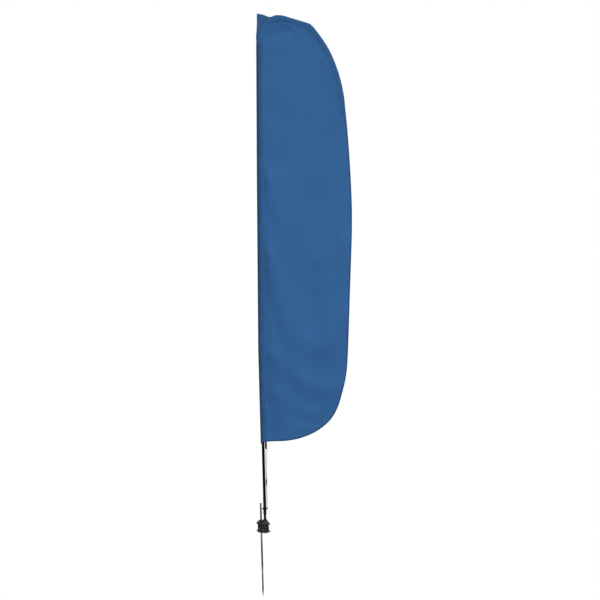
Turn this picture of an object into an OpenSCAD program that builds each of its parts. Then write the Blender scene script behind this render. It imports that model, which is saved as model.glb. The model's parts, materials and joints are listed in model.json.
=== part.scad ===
// Feather flag on a ground spike: a straight-edged banner on a sectional pole
// that turns on a spindle held in a moulded hub beside the spike.
// Millimetres. Origin on the spike's axis at ground level, +Z up. +X runs from
// the pole's edge of the banner to its free edge, and the banner lies in an XZ plane.

/* [Spike] */
// Whole length of the steel spike
spike_len = 508; // [420:1:560]
// Diameter of the spike
spike_d = 9.5; // [8:0.1:10]
// Height of the driving end above the ground
driving_h = 158; // [140:1:200]
// Length of the conical point
point_len = 38; // [25:1:50]

/* [Hub] */
// Height of the moulded hub
hub_h = 67; // [65:0.5:70]
// Distance between the spike's axis and the spindle's axis
bore_pitch = 28; // [28:0.5:34]
// Turn of the hub about the spike, from +X towards -Y, in degrees
hub_turn = 38; // [0:1:60]
// Radius of the hub's core around each bore
core_r = 17; // [16:0.5:18]
// Reach of the pointed ears from the hub's middle
ear_reach = 43.5; // [36:0.5:46]

/* [Spindle] */
// Diameter of the spindle in its bushes
journal_d = 12; // [11:0.1:12.4]
// Diameter of the bare stretch above the hub
spindle_d = 13.4; // [12.6:0.1:14.4]
// Diameter of the pin that enters the pole
pin_d = 10.8; // [10:0.1:10.9]
// Height of the shoulder that the pole stands on
shoulder_h = 99; // [90:1:105]
// Length of the pin above the shoulder
pin_len = 106; // [80:1:140]

/* [Pole] */
// Outer diameter of the lower section
lower_d = 15; // [14.6:0.1:15]
// Outer diameter of the middle section
middle_d = 13.5; // [13:0.1:13.6]
// Outer diameter of the upper section
upper_d = 11; // [10.6:0.1:11.2]
// Height of the joint between the lower and the middle section
joint_1_h = 985; // [960:5:1010]
// Height of the joint between the middle and the upper section
joint_2_h = 1901; // [1880:5:1920]
// Height of the top of the upper section
joint_3_h = 2560; // [2550:5:2570]
// Lean of the middle section towards the free edge, in degrees
middle_lean = 1.09; // [1:0.01:1.2]
// Lean of the upper section towards the free edge, in degrees
upper_lean = 1.28; // [1.2:0.01:1.4]
// Diameter of the whip where it enters the pole
whip_d = 6; // [5.6:0.1:6]
// Diameter of the whip at its tip
whip_tip_d = 4; // [3:0.1:5]

/* [Banner] */
// Outer radius of the sleeve that holds the pole
sleeve_r = 11.5; // [11:0.1:11.6]
// Thickness of the sleeve's and the pocket's wall
cloth_wall = 1; // [0.8:0.1:1.2]
// Thickness of the solid that stands in for the hanging cloth
panel_t = 2; // [1.5:0.5:3]
// Width of the hem along the bottom and the free edge
hem_w = 8; // [6:1:12]
// Outer radius of the pocket that holds the whip
pocket_r = 8.5; // [8:0.1:9]

/* [Tether] */
// Diameter of the elastic cord
cord_d = 2.6; // [2.2:0.1:2.6]
// Distance between the cord's two strands at the cord lock
strand_gap = 7; // [6.8:0.1:7.2]
// Width of the webbing tab
tab_w = 11; // [10:0.5:12]
// Thickness of the webbing tab
tab_t = 1.6; // [1.2:0.1:2]

/* [Hidden] */

$fn = 64;
gap = 0.05;           // running clearance, on the radius
seat = 0.1;           // clearance of a fixed rod in its hole, on the radius
spike_r = spike_d / 2;
journal_r = journal_d / 2;
pin_r = pin_d / 2;
spindle_x = bore_pitch * cos(hub_turn);
spindle_y = -bore_pitch * sin(hub_turn);

// Hub: heights of its steps, from the ground up
lower_ear_z = 8;      // the lower ears' underside
ear_t = 4.5;          // thickness of both pairs of ears at their tips
ring_z = 26;          // the middle ring
ring_h = 6;
upper_ear_z = 45.5;   // the upper ears' underside
crown_r = 11.5;       // radius of the flat crown around each bore
bush_r = 9;           // seats of both bushes
bush_len = 20;
plug_pocket_h = 9;
screw_r = 3;
low_screw_z = 19;
spike_screw_z = 58;   // the spike's upper screw
bush_screw_z = 53;    // the spindle's upper screw
screw_face = core_r + 1.6;
screw_slot_r = spike_r - 0.45;
screw_slot_h = 8;

// Spindle
flange_z = hub_h + 3;
flange_r = 9;
journal_bottom = 3.4;

// Pole: joints as [x, z], in the plane of the banner with x = 0 on the spindle's axis
joint_1 = [0, joint_1_h];
joint_2 = joint_1 + (joint_2_h - joint_1_h) * [tan(middle_lean), 1];
joint_3 = joint_2 + (joint_3_h - joint_2_h) * [tan(upper_lean), 1];
lower_bore = pin_r + gap;
upper_bore = whip_d / 2 + seat;
whip_inside = 80;     // length of the whip inside the upper section
foot_r = 8.4;
foot_rim = 122;       // top of the foot's thick rim
grip_r = 8.1;         // radius of the thin sheath above the rim, which the collar slides on
foot_top = 192;
sleeve_bottom = 481;
sleeve_top = 2655;

// Banner: corner and edge points as [x, z], in the order bottom, free edge, top
banner_edge = [[12.5, 491], [45, 491], [134, 494], [213, 509], [294, 543], [363, 597], [406, 664],
  [435, 750], [458, 845], [469, 950], [482, 1160], [500, 1460], [510, 1640], [512, 1790],
  [507, 2000], [496, 2210], [480, 2370], [450, 2495], [406, 2602], [343, 2700], [326, 2721],
  [305, 2738], [212, 2769], [170, 2783], [131, 2786], [98, 2777], [61, 2791], [29, 2798]];
corner_point = [29, 2798];
// The whip's own line, from inside the upper section to its tip
whip_line = [joint_3 - whip_inside * [sin(upper_lean), cos(upper_lean)], joint_3, [33.8, 2630],
  [38, 2672], [49, 2708], [69, 2737], [98, 2757], [131, 2768], [165, 2770], [200, 2763],
  [240, 2749], [278, 2734], [308, 2716], [334, 2692], [360, 2659], [388, 2614], [415, 2558],
  [437, 2500], [455, 2440], [468, 2380], [476, 2320], [480, 2262]];
whip_end = whip_line[len(whip_line) - 1];
whip_heading = atan2(480 - 476, 2320 - 2262);
pocket_first = 4;     // the first point of whip_line that lies in the pocket
steps = 4;            // curve points between two given points

// Tether: places in the banner's plane, and the cord's route as [x, y, z]
tab_x = 15;
tab_bottom = 452;
strand_a = tab_x - strand_gap / 2;
strand_b = tab_x + strand_gap / 2;
lock_z = 446;
lock_h = 11;
lock_half_t = 4.5;
lock_left = 8.2;
lock_right = 21.6;
lock_bore_x = 13.4;
button_r = 3;
button_travel = 1.5;
button_left = lock_bore_x + button_travel + 0.15;
spring_pocket = 1.55; // depth of the spring's seat in the button
collar_z = 125.5;
collar_h = 9;
collar_r = 11.2;
post_x = 12.6;        // middle of the hook's groove
post_z = 131;
post_r = 3.6;
cord_route = [[strand_a, 0, tab_bottom], [strand_a, 0, 444], [strand_a, 0, 430], [strand_a, 0, 412],
  [strand_a, -0.5, 370], [11.6, -1.5, 310], [11.8, -3, 245], [12.1, -4.2, 190], [12.4, -5, 150],
  [post_x, -5.2, 138], [post_x, -5.2, post_z], [post_x, -3.7, 127.3], [post_x, 0, 125.8],
  [post_x, 3.7, 127.3], [post_x, 5.2, post_z], [post_x, 5.2, 138], [12.8, 5, 150],
  [13.4, 4.2, 190], [14.5, 3, 245], [15.9, 1.5, 310], [17.5, 0.5, 370], [strand_b, 0, 412],
  [strand_b, 0, 430], [strand_b, 0, 444], [strand_b, 0, tab_bottom]];

// ---- curves ---------------------------------------------------------------

// A point of the smooth curve between b and c, with a and d as their neighbours
function smooth(a, b, c, d, t) =
  0.5 * (2 * b + (c - a) * t + (2 * a - 5 * b + 4 * c - d) * t * t + (3 * b - a - 3 * c + d) * t * t * t);

// A smooth open curve through all the points, n steps between each pair
function curve(p, n) = [
  for (i = [0 : len(p) - 2], k = [0 : n - 1])
    smooth(p[max(i - 1, 0)], p[i], p[i + 1], p[min(i + 2, len(p) - 1)], k / n),
  p[len(p) - 1]];

function unit(v) = v / norm(v);

// Direction of an open line at its point i
function heading(p, i) = unit(p[min(i + 1, len(p) - 1)] - p[max(i - 1, 0)]);

// The line moved sideways by d, to the right of its direction where d is positive
function aside(p, d) = [for (i = [0 : len(p) - 1]) p[i] + d * [heading(p, i)[1], -heading(p, i)[0]]];

function reversed(p) = [for (i = [len(p) - 1 : -1 : 0]) p[i]];

function part_of(p, a, b) = [for (i = [a : b]) p[i]];

// The pole's axis at height z
function axis_x(z) = z < joint_1_h ? 0
  : z < joint_2_h ? (z - joint_1_h) * tan(middle_lean)
  : joint_2[0] + (z - joint_2_h) * tan(upper_lean);

// A closed tube of the given radii along points in space, with a fixed side direction
module sweep(p, r, sides, side) {
  n = len(p);
  dirs = [for (i = [0 : n - 1]) heading(p, i)];
  us = [for (i = [0 : n - 1]) unit(side - (side * dirs[i]) * dirs[i])];
  pts = [for (i = [0 : n - 1], k = [0 : sides - 1])
    p[i] + r[i] * (cos(360 * k / sides) * us[i] + sin(360 * k / sides) * cross(dirs[i], us[i]))];
  walls = [for (i = [0 : n - 2], k = [0 : sides - 1])
    [i * sides + k, (i + 1) * sides + k, (i + 1) * sides + (k + 1) % sides, i * sides + (k + 1) % sides]];
  first = [for (k = [0 : sides - 1]) k];
  last = [for (k = [sides - 1 : -1 : 0]) (n - 1) * sides + k];
  polyhedron(points = pts, faces = concat([first], walls, [last]));
}

// Points [x, z] of the banner's plane as points in space
function in_plane(p) = [for (q = p) [q[0], 0, q[1]]];

module at_spindle() translate([spindle_x, spindle_y, 0]) children();

// The hub's own frame: x from the spike's axis to the spindle's, -y to the front
module hub_frame() rotate([0, 0, -hub_turn]) children();

// A flat shape of the banner's plane, given thickness t about that plane
module plate(p, t) at_spindle() rotate([90, 0, 0]) linear_extrude(t, center = true) polygon(p);

// A tube along the pole, from joint point p over length l (negative: downwards)
module pole_tube(p, lean, from, l, r_out, r_in) {
  at_spindle() translate([p[0], 0, p[1]]) rotate([0, lean, 0]) translate([0, 0, from]) difference() {
    cylinder(h = l, r = r_out);
    translate([0, 0, -1]) cylinder(h = l + 2, r = r_in);
  }
}

// ---- ground spike and hub --------------------------------------------------

module ground_spike() color("silver") difference() {
  tip_z = driving_h - spike_len;
  union() {
    translate([0, 0, tip_z]) cylinder(h = point_len, r1 = 0.6, r2 = spike_r);
    translate([0, 0, tip_z + point_len]) cylinder(h = spike_len - point_len - 1.5, r = spike_r);
    translate([0, 0, driving_h - 1.5]) cylinder(h = 1.5, r1 = spike_r, r2 = spike_r - 1.2);
  }
  ring_groove(-2.5, 1.2, spike_r - 0.8);
  for (z = [low_screw_z, spike_screw_z]) ring_groove(z - screw_slot_h / 2, screw_slot_h, screw_slot_r);
}

// A groove turned in a rod on the Z axis
module ring_groove(z, h, r) translate([0, 0, z]) difference() {
  cylinder(h = h, r = 12);
  translate([0, 0, -1]) cylinder(h = h + 2, r = r);
}

// An E-clip that lies in a groove of radius r, with its mouth towards +X
module e_clip(r, r_out, h) difference() {
  cylinder(h = h, r = r_out);
  translate([0, 0, -1]) cylinder(h = h + 2, r = r + gap);
  translate([0, -r * 0.7, -1]) cube([r_out + 1, r * 1.4, h + 2]);
}

module spike_clip() color("silver") hub_frame() rotate([0, 0, 180])
  translate([0, 0, -2.45]) e_clip(spike_r - 0.8, 8, 1.1);

// Two round bosses joined by straight sides, around both bores
module core(z, h, r) {
  for (x = [0, bore_pitch]) translate([x, 0, z]) cylinder(h = h, r = r);
  translate([0, -r, z]) cube([bore_pitch, 2 * r, h]);
}

// The pointed ears: the slab that both flanges are formed from
module ears(z) {
  for (x = [0, bore_pitch]) translate([x, 0, z]) cylinder(h = ear_t, r = 20.5, $fn = 32);
  for (s = [-1, 1]) translate([bore_pitch / 2 + s * ear_reach, 0, z]) cylinder(h = ear_t, r = 4, $fn = 32);
}

// Upright ribs that stiffen the necks between the flanges
module ribs() {
  rib_t = 2.6;
  z = lower_ear_z + ear_t;
  h = upper_ear_z - z;
  for (x = [-2, bore_pitch / 2, bore_pitch + 2])
    translate([x - rib_t / 2, -core_r - 1.8, z]) cube([rib_t, 2 * core_r + 3.6, h]);
  for (s = [0, 1], a = [-62, -28, 0, 28, 62])
    translate([s * bore_pitch, 0, z]) rotate([0, 0, s * 180 + 180 + a])
      translate([core_r - 2, -rib_t / 2, 0]) cube([a == 0 ? 9 : 4, rib_t, h]);
}

module hub_outside() {
  hull() {
    for (x = [0, bore_pitch]) translate([x, 0, 0]) cylinder(h = 1, r = core_r - 1, $fn = 32);
    ears(lower_ear_z);
  }
  hull() {
    ears(upper_ear_z);
    for (x = [0, bore_pitch]) translate([x, 0, hub_h - 1]) cylinder(h = 1, r = crown_r, $fn = 32);
  }
  core(lower_ear_z, upper_ear_z - lower_ear_z + 2, core_r);
  core(ring_z, ring_h, core_r + 2.2);
  ribs();
  for (p = screw_places()) translate([p[0], 0, p[1]]) rotate([90, 0, 0]) cylinder(h = screw_face, r = 5.4);
}

// Where the four front screws stand, as [x, z] in the hub's frame
function screw_places() = [[0, low_screw_z], [0, spike_screw_z],
  [bore_pitch, low_screw_z], [bore_pitch, bush_screw_z]];

module hub_body() color([0.09, 0.09, 0.1]) hub_frame() difference() {
  hub_outside();
  translate([0, 0, -1]) cylinder(h = hub_h + 2, r = spike_r + seat);
  translate([bore_pitch, 0, -1]) {
    cylinder(h = hub_h + 2, r = journal_r + 1.5);
    cylinder(h = plug_pocket_h + 1, r = bush_r + 2);
    cylinder(h = plug_pocket_h + bush_len + 1, r = bush_r);
    translate([0, 0, hub_h - bush_len + 1]) cylinder(h = bush_len + 1, r = bush_r);
  }
  for (p = screw_places()) translate([p[0], 0, p[1]]) rotate([90, 0, 0]) cylinder(h = 40, r = screw_r + gap);
}

// A hexagon-socket set screw whose tip stands y_tip in front of a bore's axis
module set_screw(x, z, y_tip) translate([x, -y_tip, z]) rotate([90, 0, 0]) difference() {
  length = screw_face - y_tip - 0.6;
  union() {
    cylinder(h = 1.2, r1 = screw_r - 0.9, r2 = screw_r);
    translate([0, 0, 1.2]) cylinder(h = length - 1.2, r = screw_r);
  }
  translate([0, 0, length - 3.2]) cylinder(h = 4, r = 1.75, $fn = 6);
}

module spike_screws() color("gainsboro") hub_frame()
  for (z = [low_screw_z, spike_screw_z]) set_screw(0, z, screw_slot_r + gap);

module bush_screws() color("gainsboro") hub_frame()
  for (z = [low_screw_z, bush_screw_z]) set_screw(bore_pitch, z, bush_r);

// A flanged bush on the spindle's axis, its flange at the foot
module bush(flange) difference() {
  union() {
    cylinder(h = bush_len + 1.4, r = bush_r - gap);
    cylinder(h = 1.4, r = flange);
  }
  translate([0, 0, -1]) cylinder(h = bush_len + 4, r = journal_r + gap);
}

module upper_bush() color("ivory") at_spindle()
  translate([0, 0, hub_h + 1.4]) mirror([0, 0, 1]) bush(crown_r - 0.6);

module lower_bush() color("ivory") at_spindle() translate([0, 0, plug_pocket_h - 1.4]) bush(bush_r + 1.8);

module thrust_washer() color("silver") at_spindle() translate([0, 0, hub_h + 1.4 + gap]) difference() {
  cylinder(h = flange_z - hub_h - 1.4 - 2 * gap, r = 10);
  translate([0, 0, -1]) cylinder(h = 5, r = journal_r + gap);
}

module bottom_plug() color([0.12, 0.12, 0.13]) at_spindle() {
  translate([0, 0, 0.4]) cylinder(h = 1.6, r = bush_r + 2 - gap);
  translate([0, 0, 2]) difference() {
    cylinder(h = 4, r = bush_r + 2 - gap);
    translate([0, 0, -1]) cylinder(h = 6, r = bush_r + 0.6);
  }
}

// ---- spindle ----------------------------------------------------------------

module spindle() color([0.1, 0.1, 0.11]) at_spindle() difference() {
  union() {
    translate([0, 0, journal_bottom]) cylinder(h = flange_z - journal_bottom, r = journal_r);
    translate([0, 0, flange_z]) cylinder(h = 3, r = flange_r);
    translate([0, 0, flange_z + 3]) cylinder(h = shoulder_h - flange_z - 3, r = spindle_d / 2);
    translate([0, 0, shoulder_h]) cylinder(h = pin_len - 2, r = pin_r);
    translate([0, 0, shoulder_h + pin_len - 2]) cylinder(h = 2, r1 = pin_r, r2 = pin_r - 1.6);
  }
  ring_groove(journal_bottom + 1.4, 1.2, journal_r - 1);
}

module spindle_clip() color("silver") at_spindle()
  translate([0, 0, journal_bottom + 1.45]) e_clip(journal_r - 1, 8.6, 1.1);

// ---- pole ---------------------------------------------------------------------

module pole_foot() color([0.07, 0.07, 0.08]) at_spindle() translate([0, 0, shoulder_h + gap]) difference() {
  h = foot_top - shoulder_h - gap;
  union() {
    cylinder(h = foot_rim - shoulder_h - gap, r = foot_r);
    cylinder(h = h - 2, r = grip_r);
    translate([0, 0, h - 2]) cylinder(h = 2, r1 = grip_r, r2 = grip_r - 0.3);
  }
  translate([0, 0, -1]) cylinder(h = 4, r = pin_r + gap);
  translate([0, 0, 2]) cylinder(h = h, r = lower_d / 2 + gap / 2);
}

module pole_lower() color([0.05, 0.05, 0.06])
  pole_tube([0, 0], 0, shoulder_h + 2 + 2 * gap, joint_1_h - shoulder_h - 3, lower_d / 2, lower_bore);

module pole_middle() color([0.05, 0.05, 0.06])
  pole_tube(joint_1, middle_lean, 0.5, norm(joint_2 - joint_1) - 1, middle_d / 2, 5);

module pole_upper() color([0.05, 0.05, 0.06])
  pole_tube(joint_2, upper_lean, 0.5, norm(joint_3 - joint_2) - 0.5, upper_d / 2, upper_bore);

// A sleeve over a joint: its lower half grips one section, its upper half the next,
// and a band covers the bend between them
module ferrule(p, lean_low, lean_high, r_low, r_high, r_out, half) at_spindle() translate([p[0], 0, p[1]])
  difference() {
    union() {
      translate([0, 0, -4]) cylinder(h = 8, r = r_out + 0.7);
      rotate([0, lean_low, 0]) translate([0, 0, -half]) cylinder(h = half - 2, r = r_out);
      rotate([0, lean_high, 0]) translate([0, 0, 2]) cylinder(h = half - 2, r = r_out);
    }
    rotate([0, lean_low, 0]) translate([0, 0, -half - 1]) cylinder(h = half + 1, r = r_low + gap / 2);
    rotate([0, lean_high, 0]) translate([0, 0, -0.5]) cylinder(h = half + 2, r = r_high + gap / 2);
  }

module ferrule_lower() color([0.16, 0.16, 0.17])
  ferrule(joint_1, 0, middle_lean, lower_d / 2, middle_d / 2, 9, 60);

module ferrule_upper() color([0.16, 0.16, 0.17])
  ferrule(joint_2, middle_lean, upper_lean, middle_d / 2, upper_d / 2, 8.2, 55);

module whip_ferrule() color([0.16, 0.16, 0.17])
  ferrule(joint_3, upper_lean, upper_lean, upper_d / 2, upper_bore, 7.2, 30);

module whip() color([0.08, 0.08, 0.08]) at_spindle() {
  p = curve(whip_line, 2);
  n = len(p);
  r = [for (i = [0 : n - 1]) (whip_d + (whip_tip_d - whip_d) * max(0, i - 4) / (n - 5)) / 2];
  sweep(in_plane(p), r, 10, [0, 1, 0]);
}

module whip_tip() color([0.1, 0.1, 0.1]) at_spindle()
  translate([whip_end[0], 0, whip_end[1]]) rotate([0, 180 - whip_heading, 0]) difference() {
    union() {
      translate([0, 0, -8]) cylinder(h = 9, r = 3.2);
      translate([0, 0, 1]) sphere(r = 3.8);
    }
    translate([0, 0, -9]) cylinder(h = 9.02, r = whip_tip_d / 2 + 0.3);
  }

// ---- banner -----------------------------------------------------------------

hem_last = 15 * steps;    // the curve point where the hem meets the whip's pocket
edge_curve = curve(banner_edge, steps);
whip_curve = curve(whip_line, steps);
pocket_curve = concat(part_of(whip_curve, pocket_first * steps, len(whip_curve) - 1),
  [whip_end + [1.4, -14], whip_end + [2.6, -28]]);

// Straight left side of the panel, a cloth's breadth clear of the sleeve
function panel_side(z) = [axis_x(z) + sleeve_r + 0.4, z];

module banner_panel() color([0.2, 0.38, 0.57]) {
  hem_inside = aside(part_of(edge_curve, 0, hem_last), -hem_w - 0.2);
  under_whip = aside(pocket_curve, pocket_r + 0.8);
  plate(concat([panel_side(500)], part_of(hem_inside, 2, hem_last), reversed(under_whip),
    [panel_side(sleeve_top), panel_side(joint_2_h), panel_side(joint_1_h)]), panel_t);
}

module banner_hem() color([0.12, 0.25, 0.4]) {
  outside = part_of(edge_curve, 0, hem_last);
  plate(concat(outside, reversed(aside(outside, -hem_w))), panel_t);
}

// One straight stretch of the pole's sleeve, its ends cut square to the pole
module sleeve_run(p, lean, from, l) pole_tube(p, lean, from, l, sleeve_r, sleeve_r - cloth_wall);

module banner_sleeve() color([0.17, 0.33, 0.5]) {
  sleeve_run([0, 0], 0, sleeve_bottom, joint_1_h - sleeve_bottom - 0.15);
  sleeve_run(joint_1, middle_lean, 0.15, norm(joint_2 - joint_1) - 0.2);
  sleeve_run(joint_2, upper_lean, 0.05, sleeve_top - joint_2_h);
}

module whip_pocket() color([0.15, 0.3, 0.46]) at_spindle() {
  n = len(pocket_curve);
  p = in_plane(pocket_curve);
  difference() {
    sweep(p, [for (i = [1 : n]) pocket_r], 10, [0, 1, 0]);
    sweep(concat([p[0] + 2 * (p[0] - p[1])], part_of(p, 1, n - 2)),
      [for (i = [1 : n - 1]) pocket_r - cloth_wall], 10, [0, 1, 0]);
  }
}

module corner_patch() color([0.15, 0.3, 0.46]) {
  top = part_of(edge_curve, 24 * steps + 2, len(edge_curve) - 1);
  outer = aside(part_of(pocket_curve, 0, 10), -pocket_r - 0.6);
  plate(concat(top, [[axis_x(2700) - sleeve_r + 1, 2700]], outer), panel_t);
}

// ---- tether -------------------------------------------------------------------

// The webbing ends beside the sleeve, under the hem's corner
module tether_tab() color([0.1, 0.1, 0.1]) {
  left = tab_x - tab_w / 2;
  right = tab_x + tab_w / 2;
  beside = sleeve_r + 0.7;
  under_sleeve = sleeve_bottom - 0.6;
  under_hem = banner_edge[0][1] - 0.6;
  plate([[left, tab_bottom], [right, tab_bottom], [right, under_hem], [beside, under_hem],
    [beside, under_sleeve], [left, under_sleeve]], tab_t);
}

module tether_cord() color("whitesmoke") at_spindle()
  sweep(curve(cord_route, 2), [for (i = [0 : 2 * len(cord_route) - 2]) cord_d / 2], 8, [1, 0, 0]);

module tether_collar() color([0.09, 0.09, 0.1]) at_spindle() difference() {
  union() {
    translate([0, 0, collar_z]) cylinder(h = collar_h, r = collar_r);
    translate([-12.4, -4, collar_z]) cube([5, 8, collar_h]);
    translate([0, 0, post_z]) rotate([0, 90, 0]) {
      cylinder(h = post_x + 1.7, r = post_r);
      translate([0, 0, post_x + 1.7]) cylinder(h = 1.4, r = 5.6);
    }
  }
  translate([0, 0, collar_z - 8]) cylinder(h = collar_h + 16, r = grip_r + gap);
  translate([-14, 0, collar_z + collar_h / 2]) rotate([0, 90, 0]) cylinder(h = 8, r = 2 + gap);
}

module collar_screw() color("silver") at_spindle()
  translate([-grip_r - 2 * gap, 0, collar_z + collar_h / 2]) rotate([0, -90, 0]) {
    cylinder(h = 5.2, r = 2);
    translate([0, 0, 4.9]) cylinder(h = 1.6, r = 3.4);
  }

module lock_barrel() color("white") at_spindle() difference() {
  hull() for (x = [lock_left + 3, lock_right - 3], z = [lock_z - lock_h / 2 + 3, lock_z + lock_h / 2 - 3])
    translate([x, 0, z]) rotate([90, 0, 0]) cylinder(h = 2 * lock_half_t, r = 3, center = true, $fn = 32);
  translate([lock_bore_x, 0, lock_z]) rotate([0, 90, 0]) cylinder(h = 20, r = button_r + gap);
  for (x = [strand_a, strand_b]) translate([x, 0, lock_z - 20]) cylinder(h = 40, r = cord_d / 2 + seat);
}

// The button's spring, a helix about its axis
module lock_spring() color("silver") at_spindle() translate([lock_bore_x + 0.25, 0, lock_z]) {
  turns = 4;
  per_turn = 10;
  wire_r = 0.18;
  length = button_left + spring_pocket - lock_bore_x - 0.5;
  line = [for (i = [0 : turns * per_turn])
    [length * i / turns / per_turn, 1.9 * cos(360 * i / per_turn), 1.9 * sin(360 * i / per_turn)]];
  sweep(line, [for (q = line) wire_r], 6, [1, 0, 0]);
}

module lock_button() color("lightgray") at_spindle() translate([0, 0, lock_z]) difference() {
  reach = cord_d / 2 + seat;
  translate([button_left, 0, 0]) rotate([0, 90, 0]) cylinder(h = 24 - button_left, r = button_r);
  translate([button_left - 1, 0, 0]) rotate([0, 90, 0]) cylinder(h = spring_pocket + 1, r = 2.3);
  translate([0, 0, -5]) hull() {
    translate([strand_b, 0, 0]) cylinder(h = 10, r = reach);
    translate([strand_b + button_travel, 0, 0]) cylinder(h = 10, r = reach);
  }
}

ground_spike();
spike_clip();
hub_body();
spike_screws();
bush_screws();
upper_bush();
lower_bush();
thrust_washer();
bottom_plug();
spindle();
spindle_clip();
pole_foot();
pole_lower();
ferrule_lower();
pole_middle();
ferrule_upper();
pole_upper();
whip_ferrule();
whip();
whip_tip();
banner_panel();
banner_sleeve();
whip_pocket();
corner_patch();
banner_hem();
tether_tab();
tether_cord();
tether_collar();
collar_screw();
lock_barrel();
lock_spring();
lock_button();
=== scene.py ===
"""The looks of a feather flag on a ground spike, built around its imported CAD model.

All places are in metres in the model's frame: origin on the spike's axis at ground level, +Z up,
+X from the pole's edge of the banner to its free edge. The banner's own frame has the same
directions, with x = 0 on the spindle's axis and its front facing -Y.
"""
import json
import math

import bmesh
import bpy
import numpy as np
from mathutils import Matrix, Vector, noise
from mathutils.bvhtree import BVHTree
from mathutils.geometry import delaunay_2d_cdt


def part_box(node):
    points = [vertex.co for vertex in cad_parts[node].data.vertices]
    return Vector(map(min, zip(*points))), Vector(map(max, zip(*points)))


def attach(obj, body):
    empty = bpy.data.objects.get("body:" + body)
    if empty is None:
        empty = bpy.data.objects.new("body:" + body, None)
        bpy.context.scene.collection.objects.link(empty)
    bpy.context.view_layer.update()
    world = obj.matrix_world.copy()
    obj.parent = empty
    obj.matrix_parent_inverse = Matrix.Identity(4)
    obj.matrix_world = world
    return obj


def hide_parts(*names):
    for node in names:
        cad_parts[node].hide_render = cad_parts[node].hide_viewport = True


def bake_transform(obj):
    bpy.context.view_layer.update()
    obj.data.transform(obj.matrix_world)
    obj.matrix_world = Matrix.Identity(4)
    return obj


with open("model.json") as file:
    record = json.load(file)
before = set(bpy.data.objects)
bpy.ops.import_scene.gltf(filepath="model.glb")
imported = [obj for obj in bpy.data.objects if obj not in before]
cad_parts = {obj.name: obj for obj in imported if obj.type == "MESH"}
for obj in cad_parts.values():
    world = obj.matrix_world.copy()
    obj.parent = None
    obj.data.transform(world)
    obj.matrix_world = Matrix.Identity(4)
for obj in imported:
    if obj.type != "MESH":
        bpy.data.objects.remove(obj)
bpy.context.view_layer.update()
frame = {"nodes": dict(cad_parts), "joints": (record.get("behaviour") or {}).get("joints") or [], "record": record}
MM = 0.001

spin = next(j for j in frame["joints"] if j["name"] == "flag_spin")
SPINDLE = Vector(spin["pos_m"])
PLANE_Y = SPINDLE.y
FLOOR_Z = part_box("ground_spike")[0].z

CLOTH_COLOR = (0.025, 0.108, 0.280)


# ---- camera ---------------------------------------------------------------------

CAMERA_PLACE = (0.2420, -7.5, 1.2483)
CAMERA_ROLL = 1.55      # degrees
LENS = 83.33            # focal length in mm, for a sensor 36 mm wide


def make_camera():
    """A level camera in front of the banner, rolled slightly about its line of sight."""
    roll = math.radians(CAMERA_ROLL)
    data = bpy.data.cameras.new("camera")
    data.lens = LENS
    data.sensor_width = 36
    data.clip_end = 200
    camera = bpy.data.objects.new("camera", data)
    bpy.context.collection.objects.link(camera)
    right = Vector((math.cos(roll), 0, -math.sin(roll)))
    up = Vector((math.sin(roll), 0, math.cos(roll)))
    axes = Matrix((right, up, Vector((0, -1, 0)))).transposed()
    camera.matrix_world = Matrix.Translation(CAMERA_PLACE) @ axes.to_4x4()
    bpy.context.scene.camera = camera


# ---- curves in the banner's plane -------------------------------------------------

def smooth_curve(points, n):
    """The part's own smooth curve through all the points, n steps between each pair."""
    p = np.array(points, float)
    out = []
    for i in range(len(p) - 1):
        a, b, c, d = p[max(i - 1, 0)], p[i], p[i + 1], p[min(i + 2, len(p) - 1)]
        for k in range(n):
            t = k / n
            out.append(0.5 * (2 * b + (c - a) * t + (2 * a - 5 * b + 4 * c - d) * t * t
                              + (3 * b - a - 3 * c + d) * t ** 3))
    out.append(p[-1])
    return np.array(out)


def places_along(line):
    """The distance along a line from its start to each of its points."""
    gaps = np.linalg.norm(np.diff(line, axis=0), axis=1)
    return np.concatenate([[0], np.cumsum(gaps)])


def resample_count(line, count):
    """That many points at equal distances along a line."""
    along = places_along(line)
    at = np.linspace(0, along[-1], count)
    return np.stack([np.interp(at, along, line[:, k]) for k in range(line.shape[1])], axis=1)


def resample(line, step):
    """Points about one step apart along a line."""
    return resample_count(line, max(2, int(round(places_along(line)[-1] / step)) + 1))


def right_of(line):
    """Unit vectors to the right of the direction of a line in the banner's plane."""
    d = np.gradient(line, axis=0)
    d /= np.linalg.norm(d, axis=1)[:, None]
    return np.stack([d[:, 1], -d[:, 0]], axis=1)


def ease(lo, hi, value):
    """0 below lo, 1 above hi, and a smooth change between them."""
    t = np.clip((value - lo) / (hi - lo), 0, 1)
    return t * t * (3 - 2 * t)


def wander(value, seed, size):
    """Smooth noise from -1 to 1 along a line, with features of about that size."""
    return noise.noise(Vector((value / size, seed * 7.31, seed * 3.17)))


# The banner's outline, the pole's joints and the whip as (x, z) in mm, as in the part's own source
EDGE = [(12.5, 491), (45, 491), (134, 494), (213, 509), (294, 543), (363, 597), (406, 664),
        (435, 750), (458, 845), (469, 950), (482, 1160), (500, 1460), (510, 1640), (512, 1790),
        (507, 2000), (496, 2210), (480, 2370), (450, 2495), (406, 2602), (343, 2700), (326, 2721),
        (305, 2738), (212, 2769), (170, 2783), (131, 2786), (98, 2777), (61, 2791), (29, 2798)]
POLE = [(0, 481), (0, 985), (17.4, 1901), (32.1, 2560)]
WHIP = [(33.8, 2630), (38, 2672), (49, 2708), (69, 2737), (98, 2757), (131, 2768), (165, 2770),
        (200, 2763), (240, 2749), (278, 2734), (308, 2716), (334, 2692), (360, 2659), (388, 2614),
        (415, 2558), (437, 2500), (455, 2440), (468, 2380), (476, 2320), (480, 2262), (482, 2234)]

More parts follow.
